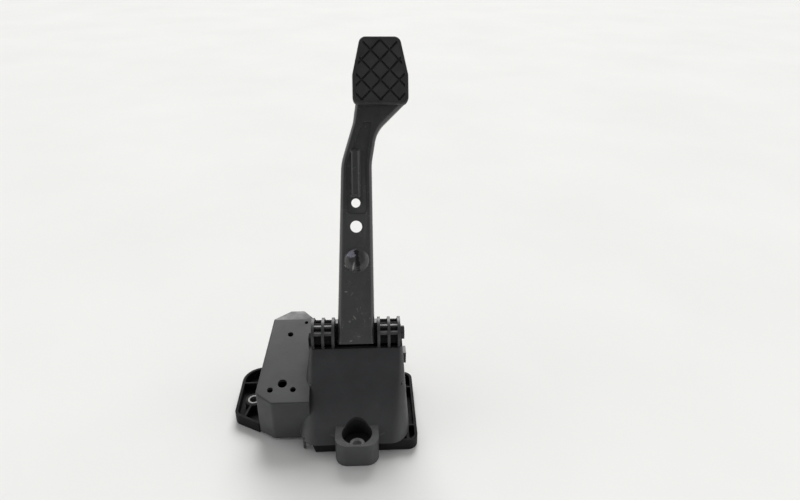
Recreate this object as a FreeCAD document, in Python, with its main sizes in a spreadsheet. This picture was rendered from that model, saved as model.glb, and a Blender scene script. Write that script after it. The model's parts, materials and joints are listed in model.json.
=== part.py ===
import FreeCAD, Part
import math
import os
import re
import Sketcher

# Brake pedal on a moulded bracket, standing on its mounting face.
# X runs to the right, Y away from the driver, Z up; the origin is the front bolt's axis on the mounting face.

doc = FreeCAD.newDocument("brake_pedal")

# Driving sizes, in millimetres and degrees: name, value, meaning
SIZES = [
    ("wall", 3.0, "moulded wall"),
    ("rib", 2.0, "moulded rib in the tray"),
    ("fit", 0.3, "gap between pieces that are set into each other"),
    ("tray_floor", 3.0, "floor of the base tray"),
    ("tray_rim", 12.0, "height of the tray's rim"),
    ("plinth_front", 2.0, "front of the tray behind the front bolt's axis"),
    ("plinth_left", 41.0, "left end of the tray's front"),
    ("tray_right", 60.0, "right edge of the tray"),
    ("flange_rear", 106.0, "rear end of the right flange"),
    ("flange_round", 10.0, "corner rounding of the right flange"),
    ("tail_right", 44.0, "right edge of the tray behind the hood"),
    ("tail_left", 56.0, "left end of the tray's rear edge"),
    ("tray_rear", 140.0, "rear edge of the tray"),
    ("ear_left", 127.0, "left edge of the ear"),
    ("ear_front", 46.0, "front corner of the ear"),
    ("ear_rear", 120.0, "rear corner of the ear"),
    ("ear_round", 10.0, "front corner rounding of the ear"),
    ("ear_back_round", 22.0, "rear corner rounding of the ear"),
    ("ear_rib", 94.0, "place of the ear's cross rib"),
    ("flange_rib_front", 23.5, "place of the flange's front rib"),
    ("flange_rib_rear", 81.0, "place of the flange's rear rib"),
    ("bolt_left_x", 110.0, "left bolt, to the left of the front one"),
    ("bolt_left_y", 67.0, "left bolt, behind the front one"),
    ("bolt_rear_x", 28.0, "rear bolt, to the right of the front one"),
    ("bolt_rear_y", 124.0, "rear bolt, behind the front one"),
    ("bolt_hole", 4.3, "radius of the bolt holes in the sleeves"),
    ("sleeve_radius", 6.5, "outer radius of the tray's sleeves"),
    ("front_sleeve_radius", 7.5, "outer radius of the front sleeve"),
    ("boss_wall", 2.7, "wall of the tray's bolt bosses"),
    ("sleeve_proud", 0.4, "how far a sleeve stands above its boss"),
    ("hem_half", 52.0, "half width of the hood at its hem"),
    ("left_flare", 5.0, "how much farther the hood's left side flares at its hem"),
    ("hem_overhang", 1.0, "hem in front of the front bolt's axis"),
    ("hem_round", 20.0, "corner rounding of the hood at its hem"),
    ("side_draft", 5.0, "how far each side of the hood draws in towards its top"),
    ("hood_front", 61.0, "front of the hood at its top"),
    ("hood_top", 81.0, "top edge of the hood's front wall"),
    ("hood_round", 4.5, "corner rounding of the hood at its top"),
    ("hood_rear", 95.0, "rear end of the hood"),
    ("pivot_y", 75.0, "pivot axis behind the front bolt"),
    ("pivot_z", 90.0, "pivot axis above the mounting face"),
    ("plate", 2.8, "pedestal plate thickness"),
    ("plate_inner", 23.0, "middle of the inner pedestal plate"),
    ("plate_pitch", 10.2, "distance between pedestal plates"),
    ("plate_front", 20.0, "front foot of the pedestal plates"),
    ("pedestal_round", 16.4, "rounded top of the pedestals"),
    ("plate_set", 2.1, "front edge of the pedestal plates behind the hood's face"),
    ("crown_rise", 13.1, "pedestals' top above the pivot where it starts to fall to the rear"),
    ("hub_radius", 11.0, "bearing hub between the plates"),
    ("bar_thin", 1.2, "half thickness of the upper cross-bar"),
    ("bar_thick", 1.7, "half thickness of the lower cross-bar"),
    ("bar_thin_angle", 116.0, "upper cross-bar's direction from the pivot"),
    ("bar_thick_angle", 144.0, "lower cross-bar's direction from the pivot"),
    ("bar_inset", 0.9, "cross-bars inside the pedestals' edge"),
    ("stop_height", 2.0, "top of the rear stop above the pivot"),
    ("web_foot", 50.0, "foot of the rear webs above the mounting face"),
    ("web_rise", 8.5, "top of the webs between the plates above the pivot"),
    ("catch_width", 12.0, "width of the catch on the hood's right side"),
    ("catch_height", 13.0, "height of that catch"),
    ("catch_proud", 4.2, "how far it stands out of the hood's top edge"),
    ("catch_drop", 22.0, "top of the catch below the pivot"),
    ("stop_gap", 0.5, "gap between the resting arm and its stop"),
    ("lug_half", 21.0, "half width of the front lug"),
    ("lug_front", 17.0, "front of the lug before the bolt's axis"),
    ("lug_back", 17.5, "back of the lug behind the bolt's axis"),
    ("lug_height", 26.0, "height of the front lug"),
    ("lug_round", 12.0, "corner rounding of the front lug"),
    ("counterbore", 14.5, "radius of the tool clearance over the front bolt"),
    ("seat_height", 12.0, "bolt seat in the front lug"),
    ("block_front", 19.5, "front of the left block"),
    ("block_left", 100.0, "left side of the left block"),
    ("block_right", 50.5, "right side of the left block"),
    ("block_join", 4.0, "how far the block reaches into the hood's side wall"),
    ("block_cut_x", 17.0, "front left corner cut, across"),
    ("block_cut_y", 11.5, "front left corner cut, along"),
    ("block_taper", 10.0, "how far the left side draws in towards the rear"),
    ("block_back", 122.0, "where the block's rear corners start"),
    ("block_rear", 137.0, "rear of the left block"),
    ("block_rear_left", 73.0, "left end of the block's rear"),
    ("block_rear_right", 58.0, "right end of the block's rear"),
    ("block_round", 6.0, "corner rounding of the left block"),
    ("skirt_top", 48.5, "top of the block's front skirt"),
    ("plateau_height", 77.0, "rear plateau of the block"),
    ("plateau_front", 120.0, "where the plateau starts"),
    ("block_edge", 2.0, "rounding of the block's top edge"),
    ("sensor_hole", 4.6, "radius of the block's large top hole"),
    ("sensor_x", 23.5, "large top hole to the left of the block's right side"),
    ("sensor_y", 22.0, "large top hole behind the block's front"),
    ("screw_hole", 2.9, "radius of the block's small top holes"),
    ("screw_y", 15.0, "front small holes behind the block's front"),
    ("screw_left_x", 35.0, "left small hole to the left of the block's right side"),
    ("screw_right_x", 12.5, "right small hole to the left of the block's right side"),
    ("screw_rear_x", 20.0, "rear small hole to the left of the block's right side"),
    ("screw_rear_y", 81.0, "rear small hole behind the block's front"),
    ("peg_hole", 1.9, "radius of the small hole beside the hood"),
    ("peg_hole_x", 4.0, "that hole to the left of the block's right side"),
    ("peg_hole_y", 96.0, "that hole behind the block's front"),
    ("arm_lean", 26.0, "arm's lean from upright at rest"),
    ("sheet", 3.0, "arm's sheet thickness"),
    ("arm_face", 12.0, "arm's front face before the pivot axis"),
    ("arm_depth", 24.0, "depth of the arm's flanges at the pivot"),
    ("arm_neck_depth", 14.0, "depth of the arm's flanges at the neck"),
    ("plate_depth", 6.0, "depth of the flange round the pad plate"),
    ("arm_tail", 9.0, "arm below the pivot axis"),
    ("arm_half", 18.8, "half width of the arm at the pivot"),
    ("bend_radius", 4.5, "outer radius of the arm's folded edges"),
    ("neck_length", 56.5, "from the arm's first bend to the pad"),
    ("arm_upper_left", 12.2, "arm's left edge at that height"),
    ("arm_upper_right", 18.5, "arm's right edge at that height"),
    ("neck_left_x", 0.3, "left edge of the neck"),
    ("neck_left_drop", 16.0, "neck's left bend below the pad"),
    ("neck_right_x", 24.0, "right edge of the neck"),
    ("neck_right_drop", 25.5, "neck's right bend below the pad"),
    ("bend_round", 60.0, "rounding of the arm's first bend"),
    ("neck_round", 30.0, "rounding of the neck's bends"),
    ("pad_x", 28.0, "pad's middle to the right of the pivot's middle"),
    ("pad_low", 228.5, "lower edge of the pad above the pivot"),
    ("pad_length", 65.5, "length of the pad"),
    ("pad_shoulder", 37.0, "length over which the pad narrows"),
    ("pad_half", 27.5, "half width of the pad"),
    ("pad_top_half", 19.5, "half width of the pad at its top"),
    ("pad_round", 7.0, "corner rounding of the pad"),
    ("pad_lip", 2.5, "rubber lip round the pad plate"),
    ("pad_thick", 8.0, "rubber in front of the pad plate"),
    ("pad_edge", 2.0, "rounding of the pad's front edge"),
    ("pad_margin", 3.5, "plain margin round the tiles"),
    ("tile_across", 18.4, "diamond tile's diagonal across"),
    ("tile_along", 19.2, "diamond tile's diagonal along the pad"),
    ("groove_width", 2.0, "groove between the tiles"),
    ("groove_depth", 2.2, "depth of those grooves"),
    ("upper_hole_s", 132.5, "height of the arm's upper hole"),
    ("upper_hole", 4.5, "radius of the arm's upper hole"),
    ("lower_hole_s", 109.0, "height of the arm's lower hole"),
    ("lower_hole", 5.9, "radius of the arm's lower hole"),
    ("hole_x", 2.0, "arm's holes to the right of the pivot's middle"),
    ("dome_s", 75.5, "height of the ball dome"),
    ("dome_radius", 12.5, "radius of the ball dome at its foot"),
    ("dome_rise", 4.5, "dome's rise from the arm's face"),
    ("dome_flat", 9.4, "half width of the dome's top before its edge is rounded"),
    ("dome_bend", 8.5, "rounding of the dome's edge"),
    ("bead_length", 47.0, "length of the pressed bead"),
    ("bead_over", 14.0, "upper end of the bead above the arm's first bend"),
    ("bead_half", 4.0, "half width of the pressed bead"),
    ("bead_round", 3.8, "rounding of the bead's ends"),
    ("bead_rise", 1.6, "rise of the pressed bead"),
    ("recess_drop", 11.0, "recessed panel below the upper hole"),
    ("recess_deep", 1.2, "depth of the recessed panel"),
    ("recess_border", 5.0, "border beside the recessed panel"),
    ("tube_radius", 10.0, "outer radius of the pivot tube"),
    ("bush_radius", 7.5, "outer radius of the bushes"),
    ("bush_flange", 2.0, "thickness of the bush flanges"),
    ("bush_length", 14.0, "bush inside the tube"),
    ("shank_radius", 5.0, "radius of the pivot bolt's shank"),
    ("running_gap", 0.05, "running gap between shank and bushes"),
    ("shank_gap", 0.1, "gap between shank and hubs"),
    ("side_gap", 0.4, "gap between bush flange and pedestal"),
    ("hex_width", 13.0, "width across flats of head and nut"),
    ("head_height", 3.4, "height of the bolt's head"),
    ("nut_height", 6.5, "height of the nut"),
    ("tool_gap", 0.4, "gap round the nut's washer in its pocket"),
    ("washer_radius", 8.5, "outer radius of the washers"),
    ("washer_thick", 1.0, "thickness of the washers"),
    ("thread_radius", 4.0, "radius of the bolt's thread"),
    ("thread_chamfer", 1.0, "chamfer of the bolt's tip"),
    ("clip_radius", 10.5, "outer radius of the ball clip"),
    ("clip_depth", 13.0, "depth of the ball clip"),
    ("clip_chamfer", 1.5, "chamfer of the ball clip's rear edge"),
    ("ball_radius", 6.0, "radius of the ball's socket"),
]

# Places worked out from those sizes
HOOD_HALF = "(hem_half - side_draft)"
ARM_UPPER = "(pad_low - neck_length)"
NECK_LEFT = "(pad_low - neck_left_drop)"
NECK_RIGHT = "(pad_low - neck_right_drop)"
PAD_HIGH = "(pad_low + pad_length)"
PAD_WIDE = "(pad_low + pad_length - pad_shoulder)"
INNER_FACE = "(plate_inner - plate / 2)"
OUTER_FACE = "(plate_inner + 2 * plate_pitch + plate / 2)"
TUBE_END = f"({INNER_FACE} - side_gap - bush_flange)"

sheet = doc.addObject("Spreadsheet::Sheet", "Sizes")
for row, (alias, size, meaning) in enumerate(SIZES, start=1):
    sheet.set(f"A{row}", alias)
    sheet.set(f"B{row}", str(size))
    sheet.setAlias(f"B{row}", alias)
    sheet.set(f"C{row}", meaning)
doc.recompute()

ALIASES = {alias for alias, _, _ in SIZES}
TURNS = {
    "XY": FreeCAD.Rotation(),
    "XZ": FreeCAD.Rotation(FreeCAD.Vector(1, 0, 0), 90),
    "YZ": FreeCAD.Rotation(FreeCAD.Vector(1, 1, 1), 120),
}
NORMAL = {"XY": "z", "XZ": "y", "YZ": "x"}
AXIS = {"XY": FreeCAD.Vector(0, 0, 1), "XZ": FreeCAD.Vector(0, 1, 0), "YZ": FreeCAD.Vector(1, 0, 0)}


def bound(text):
    """A formula with the sheet's name put before each size."""
    return re.sub(r"[a-z_]+", lambda m: "Sizes." + m[0] if m[0] in ALIASES else m[0], str(text))


def bind(thing, **formulas):
    """Tie properties to formulas; a double underscore in a name stands for a dot."""
    for name, text in formulas.items():
        thing.setExpression(name.replace("__", "."), bound(text))
    return thing


def measure(text):
    """The present value of a formula."""
    return float(sheet.evalExpression(bound(text)))


def place(thing, x="0", y="0", z="0"):
    return bind(thing, Placement__Base__x=x, Placement__Base__y=y, Placement__Base__z=z)


def pin(sketch, geometry, point, corner):
    """Hold one point of a sketch at a corner given by two formulas."""
    for kind, text in zip(("DistanceX", "DistanceY"), corner):
        index = sketch.addConstraint(Sketcher.Constraint(kind, -1, 1, geometry, point, measure(text)))
        sketch.setExpression(f"Constraints[{index}]", bound(text))


def corner_arc(middle, radius, entry, leave, turns_left):
    """A rounded corner as an arc, with its ends' numbers in the order that the outline meets them."""
    start, end = (entry, leave) if turns_left else (leave, entry)
    angles = [math.atan2((p - middle).y, (p - middle).x) for p in (start, end)]
    if angles[1] < angles[0]:
        angles[1] += 2 * math.pi
    curve = Part.ArcOfCircle(Part.Circle(middle, AXIS["XY"], radius), *angles)
    return (curve, 1, 2) if turns_left else (curve, 2, 1)


def outline(sketch, corners):
    """A closed outline; a corner is (across, up) or (across, up, rounding), all formulas."""
    points = [FreeCAD.Vector(measure(c[0]), measure(c[1]), 0) for c in corners]
    rounds = [measure(c[2]) if len(c) > 2 else 0 for c in corners]
    count = len(corners)
    entries, exits, arcs = [], [], []
    for i, point in enumerate(points):
        back = (points[i - 1] - point).normalize()
        ahead = (points[(i + 1) % count] - point).normalize()
        half = back.getAngle(ahead) / 2
        reach = rounds[i] / math.tan(half)
        entries.append(point + back * reach)
        exits.append(point + ahead * reach)
        if rounds[i]:
            middle = point + (back + ahead).normalize() * (rounds[i] / math.sin(half))
            turns_left = ahead.cross(back).z > 0
            arcs.append(corner_arc(middle, rounds[i], entries[i], exits[i], turns_left))
        else:
            arcs.append(None)
    lines = [
        sketch.addGeometry(Part.LineSegment(exits[i], entries[(i + 1) % count])) for i in range(count)
    ]
    for i, corner in enumerate(corners):
        before, after = lines[i - 1], lines[i]
        if arcs[i] is None:
            sketch.addConstraint(Sketcher.Constraint("Coincident", before, 2, after, 1))
            pin(sketch, after, 1, corner)
            continue
        curve, first, last = arcs[i]
        arc = sketch.addGeometry(curve)
        tip = sketch.addGeometry(Part.Point(points[i]), True)
        pin(sketch, tip, 1, corner)
        sketch.addConstraint(Sketcher.Constraint("PointOnObject", tip, 1, before))
        sketch.addConstraint(Sketcher.Constraint("PointOnObject", tip, 1, after))
        sketch.addConstraint(Sketcher.Constraint("Tangent", before, 2, arc, first))
        sketch.addConstraint(Sketcher.Constraint("Tangent", arc, last, after, 1))
        index = sketch.addConstraint(Sketcher.Constraint("Radius", arc, rounds[i]))
        sketch.setExpression(f"Constraints[{index}]", bound(corner[2]))


def sketch_on(name, plane, corners, level="0"):
    """A sketch on a plane through the origin, moved along its axis by level."""
    sketch = doc.addObject("Sketcher::SketchObject", name)
    sketch.Placement = FreeCAD.Placement(FreeCAD.Vector(), TURNS[plane])
    bind(sketch, **{"Placement__Base__" + NORMAL[plane]: level})
    outline(sketch, corners)
    return sketch


def extrude(name, profile, plane, length, backward=False):
    """A solid from an outline, along the axis across its plane."""
    solid = doc.addObject("Part::Extrusion", name)
    solid.Base = profile
    solid.DirMode = "Custom"
    solid.Dir = AXIS[plane] * (-1 if backward else 1)
    solid.Solid = True
    return bind(solid, LengthFwd=length)


def prism(name, plane, corners, level, length, backward=False):
    return extrude(name, sketch_on(name + "_outline", plane, corners, level), plane, length, backward)


def inset(name, profile, amount):
    """An outline drawn in by an amount."""
    ring = doc.addObject("Part::Offset2D", name)
    ring.Source = profile
    ring.Join = "Intersection"
    return bind(ring, Value=f"-({amount})")


def rod(name, axis, radius, length, x="0", y="0", z="0"):
    """A cylinder along an axis, from a point given by formulas."""
    turn = {"X": FreeCAD.Rotation(FreeCAD.Vector(0, 1, 0), 90), "Z": FreeCAD.Rotation(),
            "Y": FreeCAD.Rotation(FreeCAD.Vector(1, 0, 0), -90)}[axis]
    solid = doc.addObject("Part::Cylinder", name)
    solid.Placement = FreeCAD.Placement(FreeCAD.Vector(), turn)
    bind(solid, Radius=radius, Height=length)
    return place(solid, x, y, z)


def cut(name, base, tool):
    result = doc.addObject("Part::Cut", name)
    result.Base = base
    result.Tool = tool
    result.Refine = False
    return result


def common(name, first, second):
    result = doc.addObject("Part::MultiCommon", name)
    result.Shapes = [first, second]
    return result


def fuse(name, solids, merged=False):
    """Join solids, with or without merging the faces that lie in one plane."""
    result = doc.addObject("Part::MultiFuse", name)
    result.Shapes = solids
    result.Refine = merged
    return result


def round_edges(name, base, radius, wanted):
    """Round the edges of a solid that a test picks."""
    doc.recompute()
    size = measure(radius)
    result = doc.addObject("Part::Fillet", name)
    result.Base = base
    result.Edges = [(i, size, size) for i, edge in enumerate(base.Shape.Edges, start=1) if wanted(edge)]
    return result


def body_sketch(body, plane, corners, level="0"):
    """A sketch on one of a body's own origin planes."""
    sketch = body.newObject("Sketcher::SketchObject", body.Name + "_sketch")
    support = next(f for f in body.Origin.OriginFeatures if f.Role == plane + "_Plane")
    sketch.AttachmentSupport = [(support, "")]
    sketch.MapMode = "FlatFace"
    bind(sketch, AttachmentOffset__Base__z=level)
    outline(sketch, corners)
    return sketch


def turned(name, plane, axis, corners):
    """A piece turned about an axis of its own sketch."""
    body = doc.addObject("PartDesign::Body", name)
    profile = body_sketch(body, plane, corners)
    turn = body.newObject("PartDesign::Revolution", name + "_turn")
    turn.Profile = profile
    turn.ReferenceAxis = (profile, [axis])
    turn.Angle = 360
    return body


def padded(body, plane, corners, level, length, backward=False):
    pad = body.newObject("PartDesign::Pad", body.Name + "_pad")
    pad.Profile = body_sketch(body, plane, corners, level)
    pad.Reversed = backward
    return bind(pad, Length=length)


def box_corners(left, right, low, high):
    return [(left, low), (right, low), (right, high), (left, high)]


def hexagon(width):
    """A hexagon by its width across flats, with a corner straight up."""
    side = f"({width}) / sqrt(3)"
    half = f"({width}) / 2"
    return [("0", f"-({side})"), (half, f"-({side}) / 2"), (half, f"({side}) / 2"), ("0", side),
            (f"-({half})", f"({side}) / 2"), (f"-({half})", f"-({side}) / 2")]


# Base tray: floor and rim, ribs and bolt bosses, with a notch for the lug
def make_tray():
    edge = sketch_on("tray_edge", "XY", [
        ("-plinth_left", "plinth_front"),
        ("tray_right", "plinth_front", "flange_round"),
        ("tray_right", "flange_rear", "flange_round"),
        ("tail_right", "flange_rear"),
        ("tail_right", "tray_rear", "flange_round"),
        ("-tail_left", "tray_rear"),
        ("-(block_left - block_taper) + 2 * wall", "block_back - wall"),
        ("-(block_left - block_taper)", "ear_rear"),
        ("-ear_left", "ear_rear", "ear_back_round"),
        ("-ear_left", "ear_front", "ear_round"),
        ("-block_left - fit", "block_front + block_cut_y"),
        ("-block_left + wall", "block_front + block_cut_y + wall"),
        ("-(block_left - block_cut_x) + wall / 2", "block_front + wall + fit"),
        ("-block_right - wall - fit", "block_front + wall + fit"),
        ("-plinth_left - 2 * wall", "block_front - wall"),
    ])
    full = extrude("tray_full", edge, "XY", "tray_rim")
    hollow = extrude("tray_hollow", inset("tray_inner", edge, "wall"), "XY", "tray_rim")
    place(hollow, z="tray_floor")
    shell = cut("tray_shell", full, hollow)
    height = "tray_rim - tray_floor / 2"
    low = "tray_floor / 2"
    pieces = [shell]
    walls = {
        "flange_wall": ("hem_half - wall - fit", "hem_half - fit", "plinth_front + wall / 2",
                        "flange_rear - wall / 2"),
        "flange_rib_one": ("hem_half - wall", "tray_right - wall / 2", "flange_rib_front - rib / 2",
                           "flange_rib_front + rib / 2"),
        "flange_rib_two": ("hem_half - wall", "tray_right - wall / 2", "flange_rib_rear - rib / 2",
                           "flange_rib_rear + rib / 2"),
        "ear_cross_rib": ("-ear_left + wall / 2", "-block_left - fit", "ear_rib - rib / 2",
                          "ear_rib + rib / 2"),
    }
    for name, sides in walls.items():
        pieces.append(prism(name, "XY", box_corners(*sides), low, height))
    pieces.append(prism("ear_slant_rib", "XY", [
        ("-bolt_left_x - rib / 2", "bolt_left_y"),
        ("-bolt_left_x - 3 * rib - rib / 2", "ear_front - wall"),
        ("-bolt_left_x - 3 * rib + rib / 2", "ear_front - 2 * wall"),
        ("-bolt_left_x + rib / 2", "bolt_left_y"),
    ], low, height))
    boss = "sleeve_radius + boss_wall"
    pieces.append(rod("left_boss", "Z", boss, "tray_rim", "-bolt_left_x", "bolt_left_y"))
    pieces.append(rod("rear_boss", "Z", boss, "tray_rim", "bolt_rear_x", "bolt_rear_y"))
    solid = fuse("tray_solid", pieces)
    notch = box_corners("-lug_half - fit", "lug_half + fit", "-lug_front", "lug_back + fit")
    bores = fuse("tray_bores", [
        rod("left_bore", "Z", "sleeve_radius", "tray_rim", "-bolt_left_x", "bolt_left_y"),
        rod("rear_bore", "Z", "sleeve_radius", "tray_rim", "bolt_rear_x", "bolt_rear_y"),
        prism("lug_notch", "XY", notch, "0", "tray_rim"),
    ])
    return cut("base_tray", solid, bores)


# Hood: a leaning front wall and two side walls, open above and behind
def hood_form(name, thick, rear):
    """The hood's outside, or its inside drawn in by a wall, with corners that widen towards the hem."""
    lean = "sqrt(1 + pow((hood_front + hem_overhang) / (hood_top - tray_rim); 2))"
    front = f"-hem_overhang + {thick} * {lean}"
    top_front = f"hood_front + {thick} * {lean}"
    across = prism(name + "_front", "XZ", [
        (f"-hem_half - left_flare + {thick}", "tray_rim"), (f"hem_half - {thick}", "tray_rim"),
        (f"{HOOD_HALF} - {thick}", "hood_top"), (f"-{HOOD_HALF} + {thick}", "hood_top"),
    ], "-lug_front", "tray_rear")
    along = prism(name + "_side", "YZ", [
        (front, "tray_rim"), (rear, "tray_rim"), (rear, "hood_top"), (top_front, "hood_top"),
    ], "-tray_right", "2 * tray_right")
    form = common(name + "_form", across, along)
    doc.recompute()
    corners = doc.addObject("Part::Fillet", name)
    corners.Base = form
    low, high = measure(f"hem_round - {thick}"), measure(f"hood_round - {thick}")
    picked = []
    for number, edge in enumerate(form.Shape.Edges, start=1):
        box = edge.BoundBox
        if min(box.XLength, box.YLength, box.ZLength) > 1:
            rises = edge.Vertexes[0].Z < edge.Vertexes[-1].Z
            picked.append((number, low, high) if rises else (number, high, low))
    corners.Edges = picked
    return corners


# Left block: its plan and its side view, extruded and kept where they meet
def block_plan():
    return sketch_on("block_plan", "XY", [
        ("-block_right + block_join", "block_front"),
        ("-block_right + block_join", "block_back"),
        ("-block_rear_right", "block_rear"),
        ("-block_rear_left", "block_rear"),
        ("-block_left + block_taper", "block_back"),
        ("-block_left", "block_front + block_cut_y", "block_round"),
        ("-block_left + block_cut_x", "block_front", "block_round"),
    ])


def block_side():
    return sketch_on("block_side", "YZ", [
        ("block_front", "-4 * wall"),
        ("block_rear", "-4 * wall"),
        ("block_rear", "plateau_height"),
        ("plateau_front", "plateau_height"),
        ("block_front", "skirt_top"),
    ])


def make_block():
    plan, side = block_plan(), block_side()
    reach = "block_left + wall"
    body = extrude("block_up", plan, "XY", "plateau_height")
    place(body, z="tray_floor")
    form = common("block_form", body, extrude("block_across", side, "YZ", reach, backward=True))

    def top_edge(edge):
        middle = edge.CenterOfMass
        crease = abs(edge.BoundBox.YMax - measure("plateau_front")) < 0.01 and edge.BoundBox.YLength < 0.01
        inside = middle.x > -measure("block_right") - 1
        return middle.z > measure("skirt_top") - 1 and not inside and not crease

    smooth = round_edges("block_smooth", form, "block_edge", top_edge)
    core_up = extrude("core_up", inset("core_plan", plan, "wall"), "XY", "plateau_height")
    core_across = extrude("core_across", inset("core_side", side, "wall"), "YZ", reach, backward=True)
    core = common("block_core", core_up, core_across)
    return smooth, core


# Bearing pedestals: three rounded plates a side with hubs, cross-bars and the rear stop between them
def cross_bar(name, size, start, length):
    """A square bar across the plates, set in from their round tops."""
    reach = f"(pedestal_round - {size} - bar_inset)"
    bar = doc.addObject("Part::Box", name)
    bind(bar, Length=length, Width=f"2 * {size}", Height=f"2 * {size}")
    return place(bar, start, f"pivot_y + {reach} * cos({size}_angle) - {size}",
                 f"pivot_z + {reach} * sin({size}_angle) - {size}")


def make_pedestals():
    wall_lean = "(hood_front + hem_overhang) / (hood_top - tray_rim)"
    middle = "plate_set - hem_overhang"
    rear = "pivot_y + pedestal_round + 2 * wall"
    crown = [
        (rear, "pivot_z + stop_height"),
        ("pivot_y + pedestal_round / 2", "pivot_z + crown_rise"),
        ("pivot_y", "pivot_z"),
    ]
    tall = [("plate_front", "tray_floor"), (rear, "tray_floor")] + crown + [
        ("hood_front + plate_set", "hood_top - wall / 2"),
        ("plate_front", f"tray_rim + (plate_front - ({middle})) / ({wall_lean})"),
    ]
    foot = "hood_top - 2 * wall"
    short = [("pivot_y", foot), (rear, foot)] + crown
    inner = INNER_FACE
    length = "(2 * plate_pitch + plate)"
    web_front = "pivot_y + hub_radius - plate / 2"
    web = box_corners(web_front, f"{web_front} + plate", "web_foot", "pivot_z + web_rise")
    solids = []
    for side, start in (("right", inner), ("left", f"-{inner} - {length}")):
        outermost = 2 if side == "right" else 0
        for step in range(3):
            level = f"{start} + {step} * plate_pitch"
            profile = short if step == outermost else tall
            flat = prism(f"{side}_flat_{step}", "YZ", profile, level, "plate")
            top = rod(f"{side}_top_{step}", "X", "pedestal_round", "plate", level, "pivot_y", "pivot_z")
            solids.append(fuse(f"{side}_plate_{step}", [flat, top], merged=True))
        solids.append(rod(f"{side}_hub", "X", "hub_radius", length, start, "pivot_y", "pivot_z"))
        solids.append(prism(f"{side}_bay_web", "YZ", web, start, length))
        for bar in ("thin", "thick"):
            solids.append(cross_bar(f"{side}_bar_{bar}", f"bar_{bar}", start, length))
    stop_front = "pivot_y + (arm_depth - arm_face + stop_gap + stop_height * sin(arm_lean)) / cos(arm_lean)"
    stop = box_corners(stop_front, rear, "web_foot", "pivot_z + stop_height")
    solids.append(prism("rear_stop", "YZ", stop, f"-{inner}", f"2 * {inner}"))
    return solids


def make_lug():
    return prism("front_lug", "XY", [
        ("-lug_half", "-lug_front", "lug_round"),
        ("lug_half", "-lug_front", "lug_round"),
        ("lug_half", "lug_back"),
        ("-lug_half", "lug_back"),
    ], "0", "lug_height")


def make_catch():
    """A catch on the hood's right side, below the pivot."""
    top = "pivot_z - catch_drop"
    face = box_corners(f"{OUTER_FACE} - plate", f"{HOOD_HALF} + catch_proud", f"{top} - catch_height", top)
    return prism("side_catch", "XZ", face, "pivot_y - catch_width / 2", "catch_width")


def make_housing(tray):
    inner = hood_form("hood_inner", "wall", "hood_rear + wall")
    hood = cut("hood_shell", hood_form("hood_outer", "0", "hood_rear"), inner)
    block, core = make_block()
    solid = fuse("housing_solid", [hood, block, make_lug()] + make_pedestals() + [make_catch()])
    pocket = "(washer_thick + nut_height)"
    holes = [
        core,
        rod("tool_bore", "Z", "counterbore", "hood_top", z="seat_height"),
        rod("front_bore", "Z", "front_sleeve_radius", "seat_height"),
        rod("shank_bore", "X", "shank_radius + shank_gap", "2 * hem_half", "-hem_half", "pivot_y", "pivot_z"),
        rod("nut_pocket", "X", "washer_radius + tool_gap", pocket, f"-{OUTER_FACE}", "pivot_y", "pivot_z"),
    ]
    spots = {
        "sensor": ("sensor_hole", "sensor_x", "sensor_y"),
        "left_screw": ("screw_hole", "screw_left_x", "screw_y"),
        "right_screw": ("screw_hole", "screw_right_x", "screw_y"),
        "rear_screw": ("screw_hole", "screw_rear_x", "screw_rear_y"),
        "peg": ("peg_hole", "peg_hole_x", "peg_hole_y"),
    }
    for name, (radius, across, along) in spots.items():
        holes.append(rod(f"{name}_bore", "Z", radius, "plateau_height", f"-block_right - {across}",
                         f"block_front + {along}", "skirt_top - 4 * wall"))
    bored = cut("housing_bored", solid, fuse("housing_holes", holes))
    return cut("bracket_housing", bored, tray)


# Pedal arm: one stamping, laid out about the pivot with Z along the arm, then leaned back
def arm_outline():
    side = "pad_half - pad_lip"
    top = "pad_top_half - pad_lip"
    return sketch_on("arm_outline", "XZ", [
        ("-arm_half", "-arm_tail"),
        ("arm_half", "-arm_tail"),
        ("arm_upper_right", ARM_UPPER, "bend_round"),
        ("neck_right_x", NECK_RIGHT, "neck_round"),
        (f"pad_x + {side}", "pad_low + pad_lip", "pad_round"),
        (f"pad_x + {side}", PAD_WIDE, "pad_round"),
        (f"pad_x + {top}", f"{PAD_HIGH} - pad_lip", "pad_round"),
        (f"pad_x - ({top})", f"{PAD_HIGH} - pad_lip", "pad_round"),
        (f"pad_x - ({side})", PAD_WIDE, "pad_round"),
        (f"pad_x - ({side})", "pad_low + pad_lip", "pad_round"),
        ("neck_left_x", NECK_LEFT, "neck_round"),
        ("-arm_upper_left", ARM_UPPER, "bend_round"),
    ], "-arm_face")


def lean_back(piece):
    """Set a piece of the pedal on the pivot at the arm's lean."""
    turn = FreeCAD.Rotation(AXIS["YZ"], -measure("arm_lean"))
    piece.Placement = FreeCAD.Placement(FreeCAD.Vector(), turn)
    place(piece, y="pivot_y", z="pivot_z")
    return bind(piece, Placement__Rotation__Angle="-arm_lean")


def arm_side():
    """The arm's side view: deep at the pivot, shallow behind the pad."""
    rear = "arm_depth - arm_face"
    return sketch_on("arm_side", "YZ", [
        ("-arm_face", "-2 * arm_tail"),
        (rear, "-2 * arm_tail"),
        (rear, "2 * arm_tail"),
        ("arm_neck_depth - arm_face", ARM_UPPER),
        ("plate_depth - arm_face", "pad_low"),
        ("plate_depth - arm_face", f"{PAD_HIGH} + pad_lip"),
        ("-arm_face", f"{PAD_HIGH} + pad_lip"),
    ], f"-{PAD_HIGH}")


def dome(name, thick, level):
    """A dome over the push rod's ball, or its inside drawn in by the sheet, turned about its own axis."""
    body = turned(name, "XY", "V_Axis", [
        ("0", "0"), (f"dome_radius - {thick}", "0"),
        (f"dome_flat - {thick}", "-dome_rise", f"dome_bend - {thick}"), ("0", "-dome_rise")])
    return place(body, "hole_x", level, "dome_s")


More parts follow.
